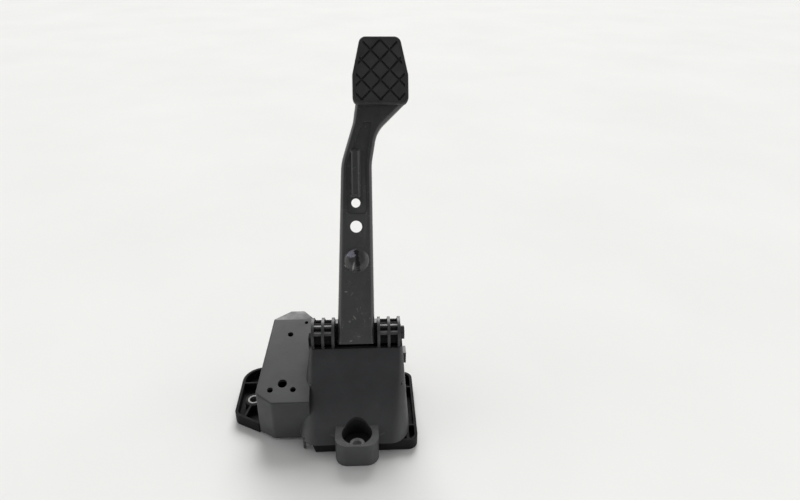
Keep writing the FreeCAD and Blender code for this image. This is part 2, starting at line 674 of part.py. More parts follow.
def folded(name, base, radius, level):
    """Round the folds of the arm: its front edges, apart from the cut lower end."""
    def fold(edge):
        box = edge.BoundBox
        front = box.YLength < 0.01 and abs(box.YMin - measure(level)) < 0.01
        return front and box.ZMax > measure("sheet - arm_tail") + 0.01
    return round_edges(name, base, radius, fold)


def make_arm():
    edge = arm_outline()
    flat = extrude("arm_flat", edge, "XZ", "arm_depth")
    full = folded("arm_full", flat, "bend_radius", "-arm_face")
    hollow = extrude("arm_hollow", inset("arm_inner", edge, "sheet"), "XZ", "arm_depth")
    place(hollow, y="sheet")
    core = folded("arm_core", hollow, "bend_radius - sheet", "-arm_face + sheet")
    shell = cut("arm_shell", full, core)
    shaped = common("arm_shaped", shell, extrude("arm_view", arm_side(), "YZ", f"2 * {PAD_HIGH}"))
    bead_high = f"({ARM_UPPER} + bead_over)"
    bead_low = f"({bead_high} - bead_length)"
    bead_sides = box_corners("hole_x - bead_half", "hole_x + bead_half", bead_low, bead_high)
    bead = prism("arm_bead", "XZ", [
        corner + ("bead_round",) for corner in bead_sides
    ], "-arm_face + sheet", "sheet + bead_rise - recess_deep", backward=True)
    recess_low = "(upper_hole_s - recess_drop)"
    recess = prism("arm_recess", "XZ", [
        ("-arm_upper_left + recess_border", recess_low, "recess_border"),
        ("arm_upper_right - recess_border", recess_low, "recess_border"),
        ("arm_upper_right - recess_border", ARM_UPPER),
        ("neck_right_x - recess_border", NECK_LEFT),
        ("neck_left_x + 2 * recess_border", NECK_LEFT),
        ("-arm_upper_left + recess_border", ARM_UPPER),
    ], "-arm_face", "recess_deep")
    outer_dome = dome("arm_dome", "0", "-arm_face")
    pressed = fuse("arm_pressed", [cut("arm_recessed", shaped, recess), bead, outer_dome])
    holes = fuse("arm_holes", [
        rod("upper_hole_bore", "Y", "upper_hole", "arm_depth", "hole_x", "-arm_face - sheet", "upper_hole_s"),
        rod("lower_hole_bore", "Y", "lower_hole", "arm_depth", "hole_x", "-arm_face - sheet", "lower_hole_s"),
        rod("tube_bore", "X", "tube_radius", "4 * arm_half", "-2 * arm_half"),
        dome("dome_hollow", "sheet", "-arm_face + sheet"),
    ])
    return lean_back(cut("pedal_arm", pressed, holes)), full


# Rubber pad: a slab with a lip round the pad plate, cut by two sets of slanting grooves
def make_pad(arm_solid):
    edge = sketch_on("pad_outline", "XZ", [
        ("pad_x - pad_half", "pad_low", "pad_round"), ("pad_x + pad_half", "pad_low", "pad_round"),
        ("pad_x + pad_half", PAD_WIDE, "2 * pad_round"), ("pad_x + pad_top_half", PAD_HIGH, "pad_round"),
        ("pad_x - pad_top_half", PAD_HIGH, "pad_round"), ("pad_x - pad_half", PAD_WIDE, "2 * pad_round"),
    ], "-arm_face - pad_thick")
    slab = extrude("pad_slab", edge, "XZ", "pad_thick + sheet")

    def front_edge(shape_edge):
        box = shape_edge.BoundBox
        return box.YMax < -measure("arm_face + pad_thick") + 0.1

    smooth = round_edges("pad_smooth", slab, "pad_edge", front_edge)
    field = extrude("pad_field", inset("pad_field_edge", edge, "pad_margin"), "XZ", "groove_depth")
    reach = "2 * pad_length"
    grooves = []
    lanes = range(-4, 5)
    for side, sign in (("rising", 1), ("falling", -1)):
        for lane in lanes:
            groove = doc.addObject("Part::Box", f"groove_{side}_{lane + 5}")
            groove.Placement = FreeCAD.Placement(FreeCAD.Vector(), FreeCAD.Rotation(FreeCAD.Vector(0, 1, 0), 0))
            slant = "atan(tile_along / tile_across)"
            bind(groove, Length=reach, Width="groove_depth", Height="groove_width",
                 Placement__Rotation__Angle=f"{-sign} * {slant}")
            run = f"pad_length * cos({slant})"
            rise = f"pad_length * sin({slant})"
            across = f"pad_x + ({lane} * tile_across + tile_across / 2) - {run}"
            along = f"pad_low + pad_length / 2 - {sign} * {rise} - groove_width / 2"
            grooves.append(place(groove, across, "-arm_face - pad_thick", along))
    tool = common("pad_grooves", fuse("groove_set", grooves), field)
    return lean_back(cut("pad_rubber", cut("pad_fitted", smooth, arm_solid), tool))


# Turned pieces on the pivot's axis
def on_pivot(piece):
    return place(piece, y="pivot_y", z="pivot_z")


def make_tube():
    return on_pivot(turned("pivot_tube", "XY", "H_Axis", box_corners(
        f"-{TUBE_END}", TUBE_END, "bush_radius", "tube_radius")))


def make_bush(name, sign):
    inside = f"({TUBE_END} - bush_length)"
    outside = f"({TUBE_END} + bush_flange)"
    bore = "shank_radius + running_gap"
    corners = [(inside, bore), (outside, bore), (outside, "tube_radius"), (TUBE_END, "tube_radius"),
               (TUBE_END, "bush_radius"), (inside, "bush_radius")]
    return on_pivot(turned(name, "XY", "H_Axis", [(f"{sign} * {x}", r) for x, r in corners]))


def make_washer(name, start, bore):
    return on_pivot(turned(name, "XY", "H_Axis", box_corners(
        start, f"{start} + washer_thick", bore, "washer_radius")))


NUT_FACE = f"({OUTER_FACE} - nut_height)"


def make_bolt():
    head = f"({OUTER_FACE} + washer_thick)"
    tip = f"({OUTER_FACE} - fit)"
    shoulder = f"({NUT_FACE} - washer_thick - fit)"
    body = turned("pivot_bolt", "XY", "H_Axis", [
        (f"-{tip}", "0"), (head, "0"), (head, "shank_radius"), (f"-{shoulder}", "shank_radius"),
        (f"-{shoulder}", "thread_radius"), (f"-{tip} + thread_chamfer", "thread_radius"),
        (f"-{tip}", "thread_radius - thread_chamfer")])
    padded(body, "YZ", hexagon("hex_width"), head, "head_height")
    return on_pivot(body)


def make_nut():
    body = doc.addObject("PartDesign::Body", "nut_blank")
    padded(body, "YZ", hexagon("hex_width"), f"-{NUT_FACE}", "nut_height", backward=True)
    thread = rod("nut_thread", "X", "thread_radius", "nut_height", f"-{OUTER_FACE}")
    return on_pivot(cut("pivot_nut", body, thread))


def make_sleeve(name, radius, seat, x, y):
    body = turned(name, "XZ", "V_Axis", box_corners("bolt_hole", radius, "0", f"{seat} + sleeve_proud"))
    return place(body, x, y)


# Ball clip: a cup for the push rod's ball, seated inside the arm behind the dome
def make_clip():
    clip = turned("ball_clip", "XY", "V_Axis", [
        ("ball_radius", "0"), ("clip_radius", "0"), ("clip_radius", "clip_depth - 2 * clip_chamfer"),
        ("clip_radius - clip_chamfer", "clip_depth"), ("ball_radius", "clip_depth")])
    lean_back(clip)
    seat = "(sheet - arm_face)"
    return place(clip, "hole_x", f"pivot_y + {seat} * cos(arm_lean) + dome_s * sin(arm_lean)",
                 f"pivot_z - {seat} * sin(arm_lean) + dome_s * cos(arm_lean)")


tray = make_tray()
arm, arm_solid = make_arm()
PIECES = {
    "base_tray": tray,
    "bracket_housing": make_housing(tray),
    "front_sleeve": make_sleeve("front_sleeve", "front_sleeve_radius", "seat_height", "0", "0"),
    "left_sleeve": make_sleeve("left_sleeve", "sleeve_radius", "tray_rim", "-bolt_left_x", "bolt_left_y"),
    "rear_sleeve": make_sleeve("rear_sleeve", "sleeve_radius", "tray_rim", "bolt_rear_x", "bolt_rear_y"),
    "pedal_arm": arm,
    "pad_rubber": make_pad(arm_solid),
    "pivot_tube": make_tube(),
    "left_bush": make_bush("left_bush", -1),
    "right_bush": make_bush("right_bush", 1),
    "left_washer": make_washer("left_washer", f"-{NUT_FACE}", "thread_radius + shank_gap"),
    "right_washer": make_washer("right_washer", OUTER_FACE, "shank_radius + shank_gap"),
    "pivot_bolt": make_bolt(),
    "pivot_nut": make_nut(),
    "ball_clip": make_clip(),
}
doc.recompute()

faults = [thing.Name for thing in doc.Objects if {"Invalid", "Error"} & set(thing.State)]
for label, piece in PIECES.items():
    if piece.Shape.isNull() or not piece.Shape.isValid():
        faults.append(label)
if faults:
    raise RuntimeError("failed: " + ", ".join(faults))

os.makedirs("parts", exist_ok=True)
for label, piece in PIECES.items():
    piece.Label = label
    piece.Shape.exportStep(f"parts/{label}.step")
    print(label, len(piece.Shape.Solids), round(piece.Shape.Volume / 1000, 2), "cm3", piece.Shape.BoundBox)
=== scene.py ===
import json
import math

import bmesh
import bpy
from mathutils import Matrix, Vector


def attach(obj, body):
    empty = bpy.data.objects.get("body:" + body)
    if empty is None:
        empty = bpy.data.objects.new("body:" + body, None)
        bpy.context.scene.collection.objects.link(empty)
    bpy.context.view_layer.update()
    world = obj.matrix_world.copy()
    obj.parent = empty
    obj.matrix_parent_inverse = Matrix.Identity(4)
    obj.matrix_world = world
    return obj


# Looks of a car's brake pedal on its moulded bracket; lengths are in metres

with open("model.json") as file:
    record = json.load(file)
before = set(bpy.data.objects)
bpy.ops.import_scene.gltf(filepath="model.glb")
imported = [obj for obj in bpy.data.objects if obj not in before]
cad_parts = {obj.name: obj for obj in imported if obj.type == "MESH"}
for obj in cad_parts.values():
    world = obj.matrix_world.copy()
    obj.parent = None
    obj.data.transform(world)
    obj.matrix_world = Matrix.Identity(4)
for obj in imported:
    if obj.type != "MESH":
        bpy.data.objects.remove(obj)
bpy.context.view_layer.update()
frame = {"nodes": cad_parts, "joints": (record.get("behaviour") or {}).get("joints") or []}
scene = bpy.context.scene
scene.view_settings.view_transform = "Standard"

# Camera of the photograph
CAMERA_PLACE = (0.0131, -0.4424, 0.470)
CAMERA_PITCH = math.radians(28.7)
CAMERA_YAW = math.radians(3.4)
CAMERA_ROLL = math.radians(-0.76)
CAMERA_LENS = 27.9
CAMERA_SENSOR = 36.0
CAMERA_NEAR = 0.01
CAMERA_FAR = 50.0


def make_camera():
    """The photograph's camera, from its place and its three angles."""
    ahead = Vector((math.sin(CAMERA_YAW) * math.cos(CAMERA_PITCH),
                    math.cos(CAMERA_YAW) * math.cos(CAMERA_PITCH),
                    -math.sin(CAMERA_PITCH)))
    level = Vector((math.cos(CAMERA_YAW), -math.sin(CAMERA_YAW), 0.0))
    below = ahead.cross(level)
    right = level * math.cos(CAMERA_ROLL) + below * math.sin(CAMERA_ROLL)
    down = below * math.cos(CAMERA_ROLL) - level * math.sin(CAMERA_ROLL)
    turn = Matrix((right, -down, -ahead)).transposed().to_4x4()
    data = bpy.data.cameras.new("photo_camera")
    data.lens = CAMERA_LENS
    data.sensor_width = CAMERA_SENSOR
    data.clip_start = CAMERA_NEAR
    data.clip_end = CAMERA_FAR
    camera = bpy.data.objects.new("photo_camera", data)
    camera.matrix_world = Matrix.Translation(CAMERA_PLACE) @ turn
    scene.collection.objects.link(camera)
    scene.camera = camera


# Shader helpers; a tone is a grey or a colour
MIX_FIRST = 6
MIX_SECOND = 7
MIX_RESULT = 2
NOISE_SPAN = (0.3, 0.7)


def new_material(name):
    """A new material, its node tree and its main shader."""
    material = bpy.data.materials.new(name)
    material.use_nodes = True
    tree = material.node_tree
    return material, tree, tree.nodes["Principled BSDF"]


def fill(tree, node, inputs):
    """Link or set a node's inputs, each found by number or name."""
    for name, value in inputs.items():
        if isinstance(value, bpy.types.NodeSocket):
            tree.links.new(value, node.inputs[name])
        else:
            node.inputs[name].default_value = value


def add(tree, kind, inputs=None, **settings):
    """A new node with its settings made and its inputs filled."""
    node = tree.nodes.new(kind)
    for name, value in settings.items():
        setattr(node, name, value)
    fill(tree, node, inputs or {})
    return node


def opaque(tone):
    """The red, green, blue and full cover of a tone."""
    red, green, blue = (tone,) * 3 if isinstance(tone, float) else tone
    return red, green, blue, 1.0


def place_in_object(tree):
    """Where a point lies in its own piece."""
    return add(tree, "ShaderNodeTexCoord").outputs["Object"]


def split(tree, vector):
    """The three parts of a vector."""
    return add(tree, "ShaderNodeSeparateXYZ", {"Vector": vector}).outputs


def joined(tree, across, along):
    """A flat vector from its two parts."""
    return add(tree, "ShaderNodeCombineXYZ", {"X": across, "Y": along}).outputs["Vector"]


def vector_node(tree, operation, first, second):
    """A vector from two others."""
    return add(tree, "ShaderNodeVectorMath", {0: first, 1: second}, operation=operation).outputs["Vector"]


def length(tree, vector):
    """The length of a vector."""
    return add(tree, "ShaderNodeVectorMath", {0: vector}, operation="LENGTH").outputs["Value"]


def math_node(tree, operation, first, second=0.0, third=0.0):
    """A number from up to three others."""
    node = add(tree, "ShaderNodeMath", {0: first, 1: second, 2: third}, operation=operation)
    return node.outputs["Value"]


def times(tree, first, *others):
    """The product of several numbers."""
    product = first
    for other in others:
        product = math_node(tree, "MULTIPLY", product, other)
    return product


def spread(tree, value, span, start=0.0, end=1.0, curve="LINEAR"):
    """A number that goes from start to end while the value crosses a span."""
    low, high = span
    node = add(tree, "ShaderNodeMapRange", {
        "Value": value, "From Min": low, "From Max": high, "To Min": start, "To Max": end,
    }, interpolation_type=curve)
    return node.outputs["Result"]


def below(tree, value, limit, fade):
    """1 up to a limit, fading to 0 above it."""
    return spread(tree, value, (limit, limit + fade), 1.0, 0.0)


def window(tree, value, span, fade):
    """1 inside a span, fading to 0 on both sides of it."""
    low, high = span
    return times(tree, spread(tree, value, (low - fade, low)), below(tree, value, high, fade))


def noise(tree, where, scale, detail, roughness=0.55):
    """A cloudy number; the scale is in cells per metre."""
    node = add(tree, "ShaderNodeTexNoise", {
        "Vector": where, "Scale": scale, "Detail": detail, "Roughness": roughness})
    return node.outputs["Fac"]


def wavering(tree, where, scale, detail, limits):
    """A number that wavers between two limits."""
    return spread(tree, noise(tree, where, scale, detail), NOISE_SPAN, *limits)


def ramp(tree, value, first, second):
    """A tone that passes from one stop to another; each stop is a value and its tone."""
    node = add(tree, "ShaderNodeValToRGB", {"Fac": value})
    for element, (position, tone) in zip(node.color_ramp.elements, (first, second)):
        element.position = position
        element.color = opaque(tone)
    return node.outputs["Color"]


def mask(tree, value, low, high):
    """0 up to a low value and 1 from a high one."""
    return ramp(tree, value, (low, 0.0), (high, 1.0))


def mix(tree, amount, first, second):
    """A tone that passes from the first to the second as the amount rises from 0 to 1."""
    node = add(tree, "ShaderNodeMix", {"Factor": amount}, data_type="RGBA")
    for place, tone in ((MIX_FIRST, first), (MIX_SECOND, second)):
        fill(tree, node, {place: tone if isinstance(tone, bpy.types.NodeSocket) else opaque(tone)})
    return node.outputs[MIX_RESULT]


def facing_up(tree):
    """How far a surface faces upward, 0 to 1."""
    normal = add(tree, "ShaderNodeNewGeometry").outputs["Normal"]
    _, _, up = split(tree, normal)
    return math_node(tree, "MAXIMUM", up, 0.0)


def edges(tree, low=0.52, high=0.60):
    """1 on outward edges, from the curvature of the surface."""
    return mask(tree, add(tree, "ShaderNodeNewGeometry").outputs["Pointiness"], low, high)


def bump(tree, height, depth, strength, base=None):
    """A relief, laid over another one where a base is given."""
    inputs = {"Height": height, "Distance": depth, "Strength": strength}
    if base is not None:
        inputs["Normal"] = base
    return add(tree, "ShaderNodeBump", inputs).outputs["Normal"]


# Painted shade on the bracket's housing, round the pivot's axis and in the bore over the front bolt, and
# painted floor light near the mounting face
PIVOT = Vector(frame["joints"][0]["pos_m"])
ROUND_PIVOT = Vector((0.0, 1.0, 1.0))
ROUND_BOLT = Vector((1.0, 1.0, 0.0))
PAINTED_SHADE = 0.004
HUB_RADIUS = 0.0118
HUB_FADE = 0.001
BAY_ACROSS = (0.0245, 0.0425)
BAY_DEEP = (0.0, 0.0152)
BAY_TALL = (-0.040, 0.010)
BAY_SIDE_FADE = 0.0003
BAY_FADE = 0.001
CLEARANCE_RADIUS = 0.0146
CLEARANCE_FADE = 0.0004
CLEARANCE_SHADE = 0.8
BOUNCE_HEIGHT = 0.025
BOUNCE_FADE = 0.025
BOUNCE_SHARE = 0.28


def from_pivot(tree):
    """Where a point lies, measured from the pivot."""
    return vector_node(tree, "SUBTRACT", place_in_object(tree), PIVOT)


def from_axis(tree, where, directions):
    """Distance from an axis through the origin, counted in the directions square to it."""
    return length(tree, vector_node(tree, "MULTIPLY", where, directions))


def near_pivot(tree):
    """1 where shade is painted: on the hubs round the pivot's axis and in the bays behind them, between the
    bearing plates.
    """
    where = from_pivot(tree)
    hub = below(tree, from_axis(tree, where, ROUND_PIVOT), HUB_RADIUS, HUB_FADE)
    across, deep, tall = split(tree, where)
    bay = times(tree, window(tree, math_node(tree, "ABSOLUTE", across), BAY_ACROSS, BAY_SIDE_FADE),
                window(tree, deep, BAY_DEEP, BAY_FADE), window(tree, tall, BAY_TALL, BAY_FADE))
    return math_node(tree, "MAXIMUM", hub, bay)


def in_clearance(tree):
    """Painted shade inside the bore over the front bolt, whose axis is the origin's upright."""
    away = from_axis(tree, place_in_object(tree), ROUND_BOLT)
    return times(tree, below(tree, away, CLEARANCE_RADIUS, CLEARANCE_FADE), CLEARANCE_SHADE)


def low_down(tree):
    """1 near the mounting face, fading to 0 above it: where painted light from the floor is laid on."""
    _, _, height = split(tree, place_in_object(tree))
    return below(tree, height, BOUNCE_HEIGHT, BOUNCE_FADE)


# Filled plastic of the bracket and the bearings
PATCHY_THIN = (0.30, 0.15)
PATCHY_THICK = (0.75, 1.0)
PLASTIC_EDGE_SHARE = 0.25


def moulding(name, dark, light, dust_and_painted_light, gloss, shine=0.5, upward_share=0.30, greased_and_shaded=False):
    """Filled plastic: a fine grain, clouds of tone, a second tone on upward faces and on edges (pale dust
    and wear on the grey, painted shade on the black), and, where asked, painted floor light low down and
    painted shade on the hubs, in the bays and in the bore.
    """
    material, tree, shader = new_material(name)
    where = place_in_object(tree)
    cloud = mask(tree, noise(tree, where, scale=38.0, detail=5.0), low=0.32, high=0.70)
    colour = mix(tree, cloud, dark, light)
    upward_patches = ramp(tree, noise(tree, where, scale=26.0, detail=6.0, roughness=0.65), PATCHY_THIN, PATCHY_THICK)
    # Upward faces take the second tone: pale dust on the grey moulding, painted shade on the black one;
    # edges take it too
    colour = mix(tree, times(tree, facing_up(tree), upward_patches, upward_share), colour, dust_and_painted_light)
    colour = mix(tree, times(tree, edges(tree), PLASTIC_EDGE_SHARE), colour, dust_and_painted_light)
    roughness = wavering(tree, where, scale=120.0, detail=4.0, limits=gloss)
    if greased_and_shaded:
        # Painted floor light near the mounting face
        colour = mix(tree, times(tree, low_down(tree), BOUNCE_SHARE), colour, dust_and_painted_light)
        # Painted shade on the hubs, in the bays and in the bore over the front bolt, with the roughness
        # raised there
        shaded = math_node(tree, "MAXIMUM", near_pivot(tree), in_clearance(tree))
        colour = mix(tree, shaded, colour, PAINTED_SHADE)
        roughness = math_node(tree, "MAXIMUM", roughness, shaded)
    flow = bump(tree, noise(tree, where, scale=60.0, detail=2.0), depth=0.0004, strength=0.25)
    grain = noise(tree, where, scale=2600.0, detail=2.0)
    normal = bump(tree, grain, depth=0.00006, strength=0.55, base=flow)
    fill(tree, shader, {
        "Base Color": colour, "Roughness": roughness, "Normal": normal, "Specular IOR Level": shine})
    return material


# The housing: pale dust on upward faces, painted floor light near the mounting face, painted shade round
# the pivot and in the bore
GREY = moulding("grey_moulding", dark=(0.026, 0.026, 0.028), light=(0.036, 0.037, 0.040),
                dust_and_painted_light=(0.105, 0.107, 0.112), gloss=(0.40, 0.54), greased_and_shaded=True)
# The tray: its upward faces and edges are painted darker, painted shade
BLACK = moulding("black_moulding", dark=(0.016, 0.016, 0.0162), light=(0.022, 0.022, 0.0225),
                 dust_and_painted_light=0.004, gloss=(0.55, 0.70), shine=0.08, upward_share=0.90)

# Paint of the pedal's arm; places are along the arm and across it, from the pivot or from the dome's middle
ARM_LEAN = math.radians(26.0)
ARM_ALONG = Vector((0.0, math.sin(ARM_LEAN), math.cos(ARM_LEAN)))
PAINT_DARK = (0.024, 0.024, 0.025)
PAINT_LIGHT = (0.036, 0.036, 0.037)
PAINT_GLOSS = (0.17, 0.30)
LOWER_PALE_ALONG = (-0.03, 0.115)
LOWER_PALE_FADE = 0.02
LOWER_PALE_SHARE = 0.60
LOWER_PALE_TONE = 0.068
NICKED_ALONG = (-0.02, 0.058)
NICKED_FADE = 0.015
NICK_CELLS = (520.0, 520.0, 140.0)
NICK_TONE = (0.22, 0.22, 0.21)
EDGE_HIGHLIGHT_SHARE = 0.20
EDGE_HIGHLIGHT_TONE = (0.13, 0.13, 0.135)
DOME_ALONG = 0.0755
DOME_ACROSS = 0.002
DOME_RADIUS = 0.0108
DOME_FADE = 0.001
DOME_TONE = (0.030, 0.030, 0.031)
DOME_DULLNESS = 0.25
GLINT_JAG = 0.008
GLINT_ACROSS = (-0.0105, -0.0005)
GLINT_ACROSS_FADE = 0.0012
GLINT_ALONG = (0.004, 0.013)
GLINT_ALONG_FADE = 0.0010
GLINT_SHARE = 0.9
GLINT_DARK = (0.40, (0.13, 0.13, 0.18))
GLINT_LIGHT = (0.62, (0.30, 0.30, 0.36))
GASH_SLANT = 0.13
GASH_ACROSS = (-0.0007, 0.0024)
GASH_ACROSS_FADE = 0.0006
GASH_ALONG = (-0.012, 0.010)
GASH_ALONG_FADE = 0.002
GASH_TONE = (0.004, 0.004, 0.005)
BEAD_ACROSS = (-0.0005, 0.0045)
BEAD_ALONG = (0.1410, 0.1840)
BEAD_FADE = 0.0026
COAT_WEIGHT = 0.35
COAT_ROUGHNESS = 0.12

# Single marks on the arm's face: middle across and along, half width and half length, lean, strength
MARKS = [
    ((-0.0012, 0.0698), (0.0010, 0.0055), -0.20, 1.0),
    ((-0.0095, 0.0699), (0.0007, 0.0022), 0.62, 0.9),
    ((-0.0092, 0.0440), (0.0022, 0.0008), 0.0, 0.6),
    ((-0.0010, 0.0177), (0.0007, 0.0030), 0.62, 0.7),
    ((-0.0060, 0.0139), (0.0014, 0.0014), 0.0, 0.4),
    ((0.0021, 0.0255), (0.0006, 0.0030), 0.20, 0.3),
    ((0.0028, -0.0013), (0.0022, 0.0006), -0.20, 0.5),
    ((-0.0050, -0.0057), (0.0019, 0.0007), 0.30, 0.8),
]
MARK_TONE = (0.26, 0.26, 0.25)
MARK_FULL = 0.55
MARK_FADE = 0.45


def arm_place(tree):
    """Distance along the arm and across it from the pivot."""
    where = from_pivot(tree)
    along = add(tree, "ShaderNodeVectorMath", {0: where, 1: ARM_ALONG}, operation="DOT_PRODUCT")
    across, _, _ = split(tree, where)
    return along.outputs["Value"], across


def paint_tone(tree, where, along):
    """The black coating, greyer over the lower arm."""
    cloud = mask(tree, noise(tree, where, scale=45.0, detail=4.0), low=0.35, high=0.70)
    colour = mix(tree, cloud, PAINT_DARK, PAINT_LIGHT)
    lower_pale = times(tree, window(tree, along, LOWER_PALE_ALONG, LOWER_PALE_FADE), LOWER_PALE_SHARE)
    return mix(tree, lower_pale, colour, LOWER_PALE_TONE)


def nicks(tree, where, along):
    """1 on upright nicks, which lie in patches on the lower arm."""
    cells = add(tree, "ShaderNodeMapping", {"Vector": where, "Scale": NICK_CELLS}).outputs["Vector"]
    nick = mask(tree, noise(tree, cells, scale=1.0, detail=3.0, roughness=0.6), low=0.65, high=0.68)
    patches = mask(tree, noise(tree, where, scale=95.0, detail=3.0), low=0.52, high=0.60)
    return times(tree, nick, window(tree, along, NICKED_ALONG, NICKED_FADE), patches)


def dome_masks(tree, where, along, across):
    """1 on the dome over the push rod's ball, 1 on a ragged patch where a reflection is painted, and 1 in
    its slanting gash.
    """
    rise = math_node(tree, "SUBTRACT", along, DOME_ALONG)
    side = math_node(tree, "SUBTRACT", across, DOME_ACROSS)
    dome = below(tree, length(tree, joined(tree, side, rise)), DOME_RADIUS, DOME_FADE)
    ragged = noise(tree, where, scale=420.0, detail=5.0, roughness=0.7)
    jag = math_node(tree, "MULTIPLY_ADD", ragged, GLINT_JAG, -GLINT_JAG / 2)
    jagged_side = math_node(tree, "ADD", side, jag)
    jagged_rise = math_node(tree, "ADD", rise, jag)
    glint_patch = times(tree, window(tree, jagged_side, GLINT_ACROSS, GLINT_ACROSS_FADE),
                 window(tree, jagged_rise, GLINT_ALONG, GLINT_ALONG_FADE), dome)
    slant = math_node(tree, "MULTIPLY_ADD", rise, GASH_SLANT, jagged_side)
    gash = times(tree, window(tree, slant, GASH_ACROSS, GASH_ACROSS_FADE),
                 window(tree, rise, GASH_ALONG, GASH_ALONG_FADE), dome)
    return dome, glint_patch, gash


def mark(tree, spot, middle, reach, lean):
    """1 on a small oval mark on the arm's face, fading out at its rim."""
    local = add(tree, "ShaderNodeMapping", {
        "Vector": spot, "Location": (*middle, 0.0), "Rotation": (0.0, 0.0, lean), "Scale": (*reach, 1.0),
    }, vector_type="TEXTURE")
    return below(tree, length(tree, local.outputs["Vector"]), MARK_FULL, MARK_FADE)


def marked(tree, colour, along, across):
    """The coating's colour with the single marks on it."""
    spot = joined(tree, across, along)
    for middle, reach, lean, strength in MARKS:
        scraped = times(tree, mark(tree, spot, middle, reach, lean), strength)
        colour = mix(tree, scraped, colour, MARK_TONE)
    return colour


def paint_relief(tree, where, along, across, glint_patch, gash):
    """Orange peel, the raised ragged patch and sunk gash of the dome, and the pressed bead."""
    peel = bump(tree, noise(tree, where, scale=420.0, detail=2.0), depth=0.00012, strength=0.30)
    dome_relief = math_node(tree, "SUBTRACT", glint_patch, gash)
    normal = bump(tree, dome_relief, depth=0.0005, strength=0.8, base=peel)
    bead = times(tree, window(tree, across, BEAD_ACROSS, BEAD_FADE),
                 window(tree, along, BEAD_ALONG, BEAD_FADE))
    return bump(tree, bead, depth=0.0022, strength=1.0, base=normal)


def arm_paint():
    """Black dip coating on pressed steel: orange peel, painted highlights on the edges, nicks low down, and
    a dome with a painted reflection on a ragged patch and a dark gash.
    """
    material, tree, shader = new_material("arm_paint")
    where = place_in_object(tree)
    along, across = arm_place(tree)
    dome, glint_patch, gash = dome_masks(tree, where, along, across)
    colour = paint_tone(tree, where, along)
    colour = mix(tree, nicks(tree, where, along), colour, NICK_TONE)
    beside_dome = math_node(tree, "SUBTRACT", 1.0, dome)
    # Painted highlights along the arm's edges, kept off the dome
    edge_highlight = times(tree, edges(tree, low=0.505, high=0.56), EDGE_HIGHLIGHT_SHARE, beside_dome)
    colour = mix(tree, edge_highlight, colour, EDGE_HIGHLIGHT_TONE)
    colour = mix(tree, dome, colour, DOME_TONE)
    # Painted reflection on the dome's ragged patch, in pale lilac greys
    glint_tone = ramp(tree, noise(tree, where, scale=900.0, detail=4.0, roughness=0.7), GLINT_DARK, GLINT_LIGHT)
    colour = mix(tree, times(tree, glint_patch, GLINT_SHARE), colour, glint_tone)
    colour = mix(tree, gash, colour, GASH_TONE)
    colour = marked(tree, colour, along, across)
    gloss = wavering(tree, where, scale=90.0, detail=5.0, limits=PAINT_GLOSS)
    roughness = math_node(tree, "MULTIPLY_ADD", dome, DOME_DULLNESS, gloss)
    fill(tree, shader, {
        "Base Color": colour, "Roughness": math_node(tree, "MAXIMUM", roughness, gash),
        "Normal": paint_relief(tree, where, along, across, glint_patch, gash),
        "Coat Weight": COAT_WEIGHT, "Coat Roughness": COAT_ROUGHNESS})
    return material


# Rubber of the pad
RUBBER_DARK = (0.017, 0.017, 0.018)
RUBBER_LIGHT = (0.032, 0.032, 0.034)
RUBBER_GLOSS = (0.55, 0.78)
RUBBER_SHINE = 0.35
TREAD_SHARE = 0.35
TREAD_TONE = (0.060, 0.060, 0.062)


def pad_rubber():
    """Matte rubber with a leathery grain, greyed where shoes rub it."""
    material, tree, shader = new_material("pad_rubber")
    where = place_in_object(tree)
    cloud = mask(tree, noise(tree, where, scale=70.0, detail=5.0), low=0.30, high=0.72)
    colour = mix(tree, cloud, RUBBER_DARK, RUBBER_LIGHT)
    colour = mix(tree, times(tree, edges(tree, low=0.51), TREAD_SHARE), colour, TREAD_TONE)
    roughness = wavering(tree, where, scale=200.0, detail=4.0, limits=RUBBER_GLOSS)
    normal = bump(tree, noise(tree, where, scale=1500.0, detail=3.0), depth=0.00010, strength=0.6)
    fill(tree, shader, {
        "Base Color": colour, "Roughness": roughness, "Normal": normal,
        "Specular IOR Level": RUBBER_SHINE})
    return material


# Steel of the sleeves and the pivot's fastening
ZINC_METALLIC = 0.4
ZINC_GLOSS = (0.46, 0.64)
BLACK_METALLIC = 0.6
BLACK_GLOSS = (0.38, 0.55)
BLACK_DARK = (0.022, 0.022, 0.023)
BLACK_LIGHT = (0.045, 0.045, 0.046)
BLACK_WEAR = 0.4
BLACK_WORN = 0.14


def zinc_steel(name, dark, light):
    """Zinc-plated steel, clouded by white bloom, with dull spots and a fine grain."""
    material, tree, shader = new_material(name)
    where = place_in_object(tree)
    spots = ramp(tree, noise(tree, where, scale=500.0, detail=5.0), (0.35, dark), (0.70, light))
    roughness = wavering(tree, where, scale=800.0, detail=4.0, limits=ZINC_GLOSS)
    normal = bump(tree, noise(tree, where, scale=2500.0, detail=2.0), depth=0.00005, strength=0.5)
    fill(tree, shader, {
        "Base Color": spots, "Roughness": roughness, "Normal": normal, "Metallic": ZINC_METALLIC})
    return material


def black_steel():
    """Phosphated steel: nearly black, with a dry oily sheen."""
    material, tree, shader = new_material("black_steel")
    where = place_in_object(tree)
    cloud = mask(tree, noise(tree, where, scale=350.0, detail=5.0), low=0.30, high=0.70)
    colour = mix(tree, cloud, BLACK_DARK, BLACK_LIGHT)
    colour = mix(tree, times(tree, edges(tree), BLACK_WEAR), colour, BLACK_WORN)
    roughness = wavering(tree, where, scale=600.0, detail=3.0, limits=BLACK_GLOSS)
    normal = bump(tree, noise(tree, where, scale=1800.0, detail=2.0), depth=0.00005, strength=0.5)
    fill(tree, shader, {
        "Base Color": colour, "Roughness": roughness, "Normal": normal, "Metallic": BLACK_METALLIC})
    return material


